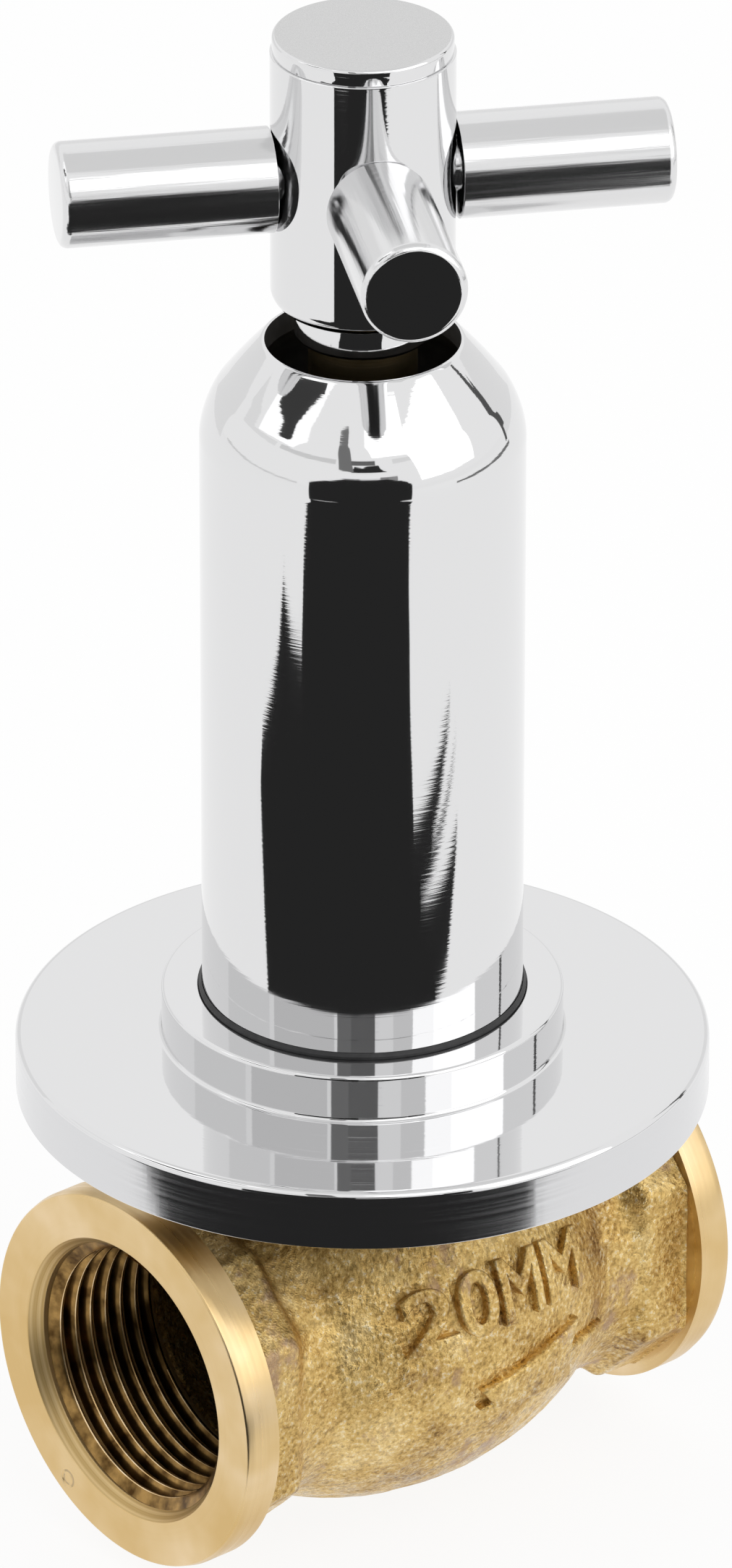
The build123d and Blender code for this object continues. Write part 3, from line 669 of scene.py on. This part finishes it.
# Studio: a white floor and sky with soft lamps, and cards that only the metal sees. The dark ones on
# the floor and beyond it give the chrome its black bands, and the grey ones shade its sides.
floor_z = -0.0425
card_z = -41.9
low = -42
black = 0.022
world = bpy.data.worlds.new("studio")
bpy.context.scene.world = world
world.use_nodes = True
white, tree_floor, floor_shader = principled("studio_floor", (0.9, 0.9, 0.9), 0.0, 0.9)
for tree in (world.node_tree, tree_floor):
    light_path = tree.nodes.new("ShaderNodeLightPath")
    seen = light_path.outputs["Is Camera Ray"]
    for ray in ("Is Glossy Ray", "Is Transmission Ray"):
        add = tree.nodes.new("ShaderNodeMath")
        add.operation = "ADD"
        add.use_clamp = True
        tree.links.new(seen, add.inputs[0])
        tree.links.new(light_path.outputs[ray], add.inputs[1])
        seen = add.outputs[0]
    level = tree.nodes.new("ShaderNodeMapRange")
    tree.links.new(seen, level.inputs["Value"])
    if tree == tree_floor:
        level.inputs["To Max"].default_value = 0.86
        glow = tree.nodes.new("ShaderNodeEmission")
        glow.inputs["Strength"].default_value = 1.03
        blend = tree.nodes.new("ShaderNodeMixShader")
        tree.links.new(level.outputs[0], blend.inputs[0])
        tree.links.new(floor_shader.outputs[0], blend.inputs[1])
        tree.links.new(glow.outputs[0], blend.inputs[2])
        tree.links.new(blend.outputs[0], tree.nodes["Material Output"].inputs["Surface"])
    else:
        level.inputs["To Min"].default_value = 0.74
        tree.nodes["Background"].inputs["Color"].default_value = (1, 1, 1, 1)
        tree.links.new(level.outputs[0], tree.nodes["Background"].inputs["Strength"])
form = bmesh.new()
bmesh.ops.create_grid(form, x_segments=1, y_segments=1, size=6)
form.transform(Matrix.Translation((0, 0, floor_z)))
mesh = bpy.data.meshes.new("floor")
form.to_mesh(mesh)
form.free()
mesh.materials.append(white)
floor = bpy.data.objects.new("floor", mesh)
bpy.context.scene.collection.objects.link(floor)

turn_to_row = Matrix.Rotation(-0.7024263, 4, "Z")
card_eye = 75
curtain_steps = 12
lamp_reach = 1.2
floor_card = [
    (-103, -46), (-131, -45), (-158, -44), (-168, -52), (-170, -99), (-177, -120), (-154, -130),
    (-133, -147), (-145, -169), (-146, -187), (-153, -214), (-201, -283),
    (-90, -336), (-28, -348), (-60, -800), (385, -800), (146, -316), (167, -249), (128, -198),
    (117, -191), (100, -157), (92, -131), (90, -110), (98, -102), (113, -103), (147, -98), (164, -84),
    (164, -66), (145, -57), (129, -60), (109, -64), (92, -76), (80, -66), (46, -74), (5, -56), (-60, -54),
]


def toward(around, rise, radius=880):
    around, rise = math.radians(around), math.radians(rise)
    out = radius * math.cos(rise)
    return out * math.sin(around), -out * math.cos(around), card_eye + radius * math.sin(rise)


def curtain(radius, low, *tops):
    foot, head = [], []
    for (first, height), (last, next_height) in zip(tops, tops[1:]):
        for k in range(curtain_steps + 1):
            a = math.radians(first + (last - first) * k / curtain_steps)
            foot.append((radius * math.sin(a), -radius * math.cos(a), low))
            head.append((*foot[-1][:2], height + (next_height - height) * k / curtain_steps))
    return [quad for quad in zip(foot, foot[1:], head[1:], head) if quad[0] != quad[1]]


def wall(radius, first, last, low, high):
    return curtain(radius, low, (first, high), (last, high))


foot = ((-8, 340), (-6, 430), (0, 414), (3, 440), (11, 458), (13, 380), (17, 330))
corner = ((-90, 36), (-86, 44), (-68, 52), (-52, 56), (-50, 53), (-61, 46), (-64, 42), (-66, 37), (-75, 37))
column = ((-17, 18), (-6, 16), (-8, 24), (-10, 38), (-12, 47), (-15, 51), (-22, 49), (-20, 36), (-18, 26))
edge = (
    (115, 28), (119, 20), (120.5, 12), (119.5, 0), (117.5, -10), (120, -10), (122, 0), (122.5, 12),
    (121, 21), (117, 28),
)
cards = (
    ("floor_card", black, [[(x, y, card_z) for x, y in floor_card]]),
    ("standing_card", black, curtain(347, low, (-36, 84), (-28, 104), (-12, 128), (-2, 128))),
    ("right_standing_card", black, curtain(347, low, (24.5, 112), (29, 98), (33, 76))),
    ("far_card", black, curtain(800, low, (-4, 204), (17, 200), (25.5, 160))),
    ("foot_card", 0.03, curtain(900, 322, *foot)),
    ("column_card", 0.2, [[toward(*p) for p in column]]),
    ("far_grey_card", 0.33, wall(812, 12, 24, 118, 232)),
    ("camera_card", 0.15, wall(1250, -14, 9, 615, 745)),
    ("right_grey_card", 0.84, wall(1250, 22, 52, 615, 745)),
    ("left_grey_card", 0.74, wall(1250, -66, -20, 615, 745)),
    ("side_grey_card", 0.88, wall(1250, -112, -70, 600, 745)),
    ("corner_card", 0.05, [[toward(*p) for p in corner]]),
    ("edge_card", 0.1, [[toward(*p) for p in edge]]),
    ("right_horizon_card", 0.2, wall(600, 66, 121, low, -20)),
    ("left_horizon_card", 0.75, wall(850, -110, -45, 50, 70)),
    ("back_card", 0.88, wall(1200, 118, 242, low, 480)),
    ("roof_card", 0.8, [[(-600, -350, 1150), (600, -350, 1150), (600, 700, 1150), (-600, 700, 1150)]]),
)
for name, shade, faces in cards:
    material = bpy.data.materials.new(name)
    material.use_nodes = True
    tree = material.node_tree
    glow = tree.nodes.new("ShaderNodeEmission")
    glow.inputs["Color"].default_value = (shade, shade, shade, 1)
    tree.links.new(glow.outputs[0], tree.nodes["Material Output"].inputs["Surface"])
    form = bmesh.new()
    for points in faces:
        bmesh.ops.contextual_create(form, geom=[form.verts.new(p) for p in points])
    bmesh.ops.triangulate(form, faces=form.faces)
    form.transform(turn_to_row @ Matrix.Scale(0.001, 4))
    mesh = bpy.data.meshes.new(name)
    form.to_mesh(mesh)
    form.free()
    mesh.materials.append(material)
    card = bpy.data.objects.new(name, mesh)
    bpy.context.scene.collection.objects.link(card)
    card.visible_camera = False
    card.visible_diffuse = False
    card.visible_shadow = False

for name, around, rise, size, power in (
    ("key", 62, 29, 1.0, 2.4), ("top", 21, 47, 0.5, 0.6), ("fill", -75, 50, 0.7, 0.5),
):
    lamp = bpy.data.lights.new(name, "AREA")
    lamp.size = size
    lamp.energy = power
    spot = Vector((
        math.sin(math.radians(around)) * math.cos(math.radians(rise)),
        -math.cos(math.radians(around)) * math.cos(math.radians(rise)),
        math.sin(math.radians(rise)),
    )) * lamp_reach
    lamp_object = bpy.data.objects.new(name, lamp)
    lamp_object.location = turn_to_row @ spot
    lamp_object.rotation_euler = (turn_to_row @ spot).to_track_quat("Z", "Y").to_euler()
    bpy.context.scene.collection.objects.link(lamp_object)

lens = bpy.data.cameras.new("camera")
lens.lens = 303.926
lens.sensor_width = 36
lens.clip_end = 20
camera = bpy.data.objects.new("camera", lens)
camera.location = (-0.70324, -0.83082, 0.60081)
camera.rotation_euler = (1.088689, -0.000723, -0.70234)
bpy.context.scene.collection.objects.link(camera)
bpy.context.scene.camera = camera
bpy.context.scene.view_settings.view_transform = "Standard"
